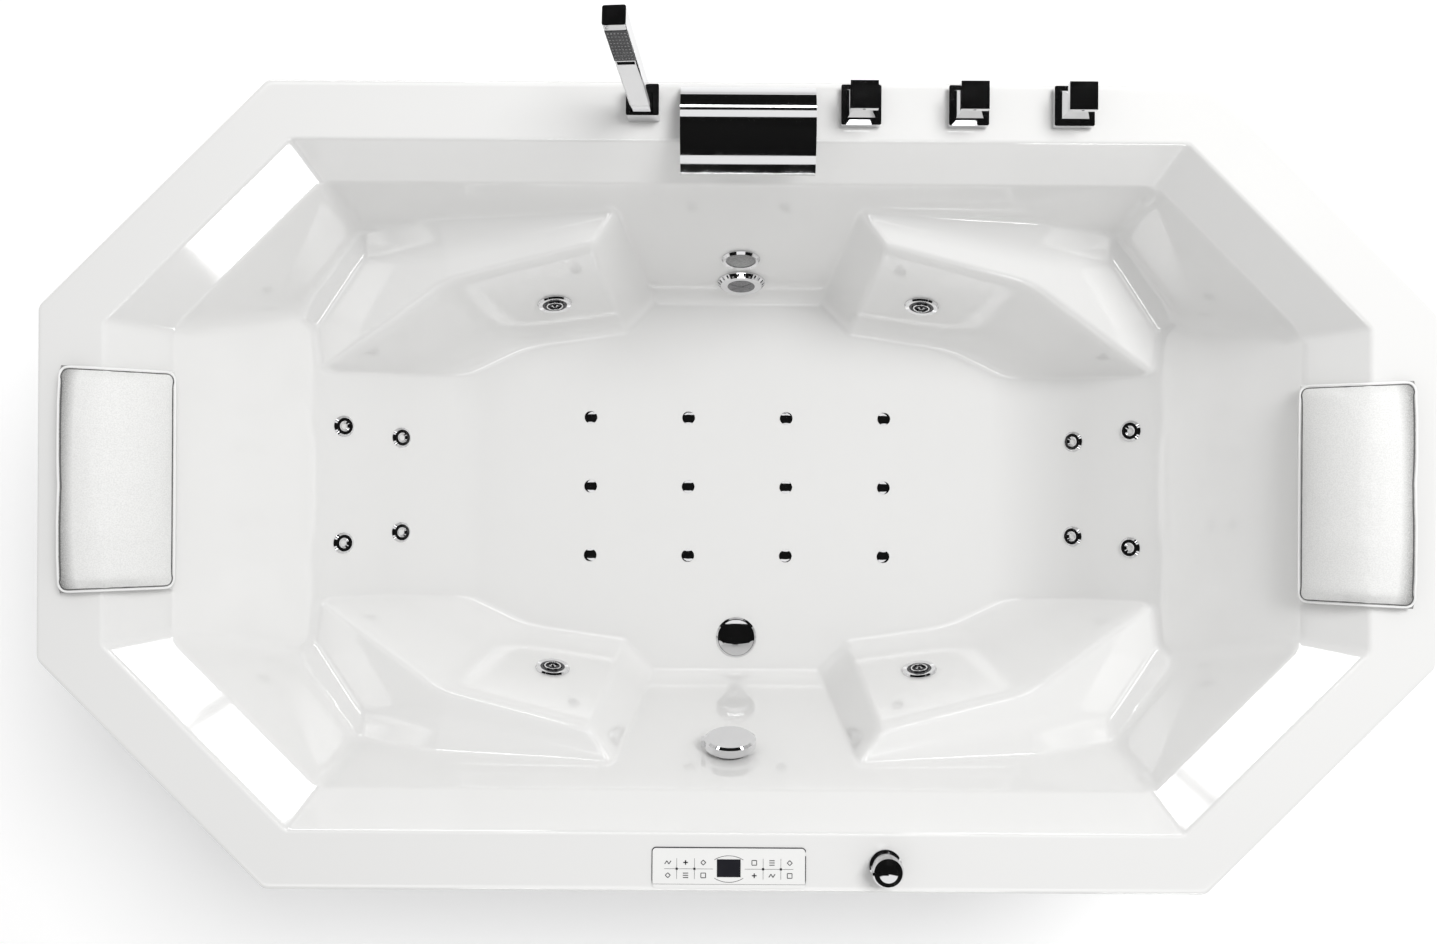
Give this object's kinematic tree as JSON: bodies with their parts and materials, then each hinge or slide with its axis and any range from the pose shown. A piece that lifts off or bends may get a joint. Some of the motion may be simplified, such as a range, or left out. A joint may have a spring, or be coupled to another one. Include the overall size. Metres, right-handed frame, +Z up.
{
  "type": "jetted bathtub",
  "caption": "Drop-in octagonal two-person jetted bathtub with armrest pods, deck taps, hand shower, waterfall spout, pillows, frame and pump.",
  "frame": {"origin": "on the floor that the feet stand on, under the middle of the tub", "axes": "+Z up, +X along the tub, +Y towards the side with the taps"},
  "size_m": [1.9, 1.1023, 0.8349],
  "materials": {
    "acrylic": "moulded gloss acrylic",
    "chrome": "polished chrome plate",
    "dark_grille": "dark nozzle grid",
    "display": "dark display window",
    "white_plastic": "white moulded plastic",
    "lens": "clear moulded lens over a mesh",
    "pillow_fabric": "soft speckled white cover",
    "galvanised_steel": "galvanised tube",
    "board": "resin-sealed board",
    "grey_pvc": "grey pipe",
    "hose": "pale flexible hose",
    "black_rubber": "moulded rubber",
    "cable": "black cable sheath",
    "motor_paint": "dark painted motor",
    "blower_plastic": "black moulded blower",
    "brass": "cast brass valve body"
  },
  "bodies": {
    "tub": {"tub_shell": "acrylic", "base_board": "board", "frame_rails": "galvanised_steel", "floor_beams": "galvanised_steel", "posts": "galvanised_steel", "foot_pads": "black_rubber", "foot_studs": "galvanised_steel", "equipment_shelves": "galvanised_steel", "jet_flanges": "chrome", "jet_bodies": "grey_pvc", "jet_feeds": "grey_pvc", "back_jets": "chrome", "back_jet_hoses": "hose", "suction_cover": "chrome", "lamp_ring": "chrome", "lamp_lens": "lens", "wall_fitting_bodies": "grey_pvc", "overflow_body": "chrome", "overflow_pipe": "hose", "plug_cable": "cable", "drain_flange": "chrome", "waste_body": "grey_pvc", "control_bases": "chrome", "valve_bodies": "brass", "shower_holder": "chrome", "waterfall_spout": "chrome", "deck_nuts": "brass", "mixer_pipes": "brass", "keypad_plate": "white_plastic", "keypad_display": "display", "keypad_housing": "white_plastic", "air_collar": "chrome", "air_valve": "white_plastic", "pump_motor": "motor_paint", "pump_volute": "blower_plastic", "suction_pipe": "grey_pvc", "pressure_pipes": "grey_pvc", "air_jets": "chrome", "air_manifold": "hose", "blower": "blower_plastic", "air_hose": "hose", "air_control_hose": "hose", "control_box": "white_plastic", "keypad_cable": "cable"},
    "hand_shower": {"hand_shower": "chrome", "spray_plate": "dark_grille"},
    "diverter_handle": {"diverter_handle": "chrome"},
    "hot_handle": {"hot_handle": "chrome"},
    "cold_handle": {"cold_handle": "chrome"},
    "air_knob": {"air_knob": "chrome"},
    "overflow_knob": {"overflow_knob": "chrome"},
    "drain_plug": {"drain_plug": "chrome"},
    "pillow_left": {"pillow_left": "pillow_fabric", "pillow_pegs_left": "white_plastic"},
    "pillow_right": {"pillow_right": "pillow_fabric", "pillow_pegs_right": "white_plastic"},
    "jet_nozzle_1": {"jet_nozzle_1": "dark_grille"},
    "jet_nozzle_2": {"jet_nozzle_2": "dark_grille"},
    "jet_nozzle_3": {"jet_nozzle_3": "dark_grille"},
    "jet_nozzle_4": {"jet_nozzle_4": "dark_grille"}
  },
  "joints": [
    {"name": "hand_shower_lift", "type": "slide", "parent": "tub", "child": "hand_shower", "axis": [-0.0691, 0.1388, 0.9879], "range_m": [0, 0.25]},
    {"name": "diverter_turn", "type": "hinge", "parent": "tub", "child": "diverter_handle", "pos_m": [0.164, 0.515, 0.628], "axis": [0, 0, 1], "range_deg": [-45, 45]},
    {"name": "hot_turn", "type": "hinge", "parent": "tub", "child": "hot_handle", "pos_m": [0.309, 0.515, 0.628], "axis": [0, 0, 1], "range_deg": [0, 90]},
    {"name": "cold_turn", "type": "hinge", "parent": "tub", "child": "cold_handle", "pos_m": [0.451, 0.515, 0.628], "axis": [0, 0, 1], "range_deg": [0, 90]},
    {"name": "air_knob_turn", "type": "hinge", "parent": "tub", "child": "air_knob", "pos_m": [0.204, -0.511, 0.62], "axis": [0, 0, 1], "range_deg": [0, 180]},
    {"name": "overflow_knob_turn", "type": "hinge", "parent": "tub", "child": "overflow_knob", "pos_m": [-0.008, -0.39889, 0.43], "axis": [0, 0.9677, 0.2521], "range_deg": [0, 90]},
    {"name": "drain_plug_lift", "type": "slide", "parent": "tub", "child": "drain_plug", "axis": [0, 0, 1], "range_m": [0, 0.012]},
    {"name": "pillow_left_lift", "type": "slide", "parent": "tub", "child": "pillow_left", "axis": [0, 0, 1], "range_m": [0, 0.04]},
    {"name": "pillow_right_lift", "type": "slide", "parent": "tub", "child": "pillow_right", "axis": [0, 0, 1], "range_m": [0, 0.04]},
    {"name": "jet_nozzle_1_turn", "type": "hinge", "parent": "tub", "child": "jet_nozzle_1", "pos_m": [0.30117, 0.29959, 0.283], "axis": [-0.1368, -0.949, 0.284], "range_deg": [0, 90]},
    {"name": "jet_nozzle_2_turn", "type": "hinge", "parent": "tub", "child": "jet_nozzle_2", "pos_m": [0.30117, -0.29959, 0.283], "axis": [-0.1368, 0.949, 0.284], "range_deg": [0, 90]},
    {"name": "jet_nozzle_3_turn", "type": "hinge", "parent": "tub", "child": "jet_nozzle_3", "pos_m": [-0.30117, 0.29959, 0.283], "axis": [0.1368, -0.949, 0.284], "range_deg": [0, 90]},
    {"name": "jet_nozzle_4_turn", "type": "hinge", "parent": "tub", "child": "jet_nozzle_4", "pos_m": [-0.30117, -0.29959, 0.283], "axis": [0.1368, 0.949, 0.284], "range_deg": [0, 90]}
  ],
  "couplings": [
    {"joint": "drain_plug_lift", "follows": "overflow_knob_turn", "m_per_rad": 0.0076394}
  ]
}
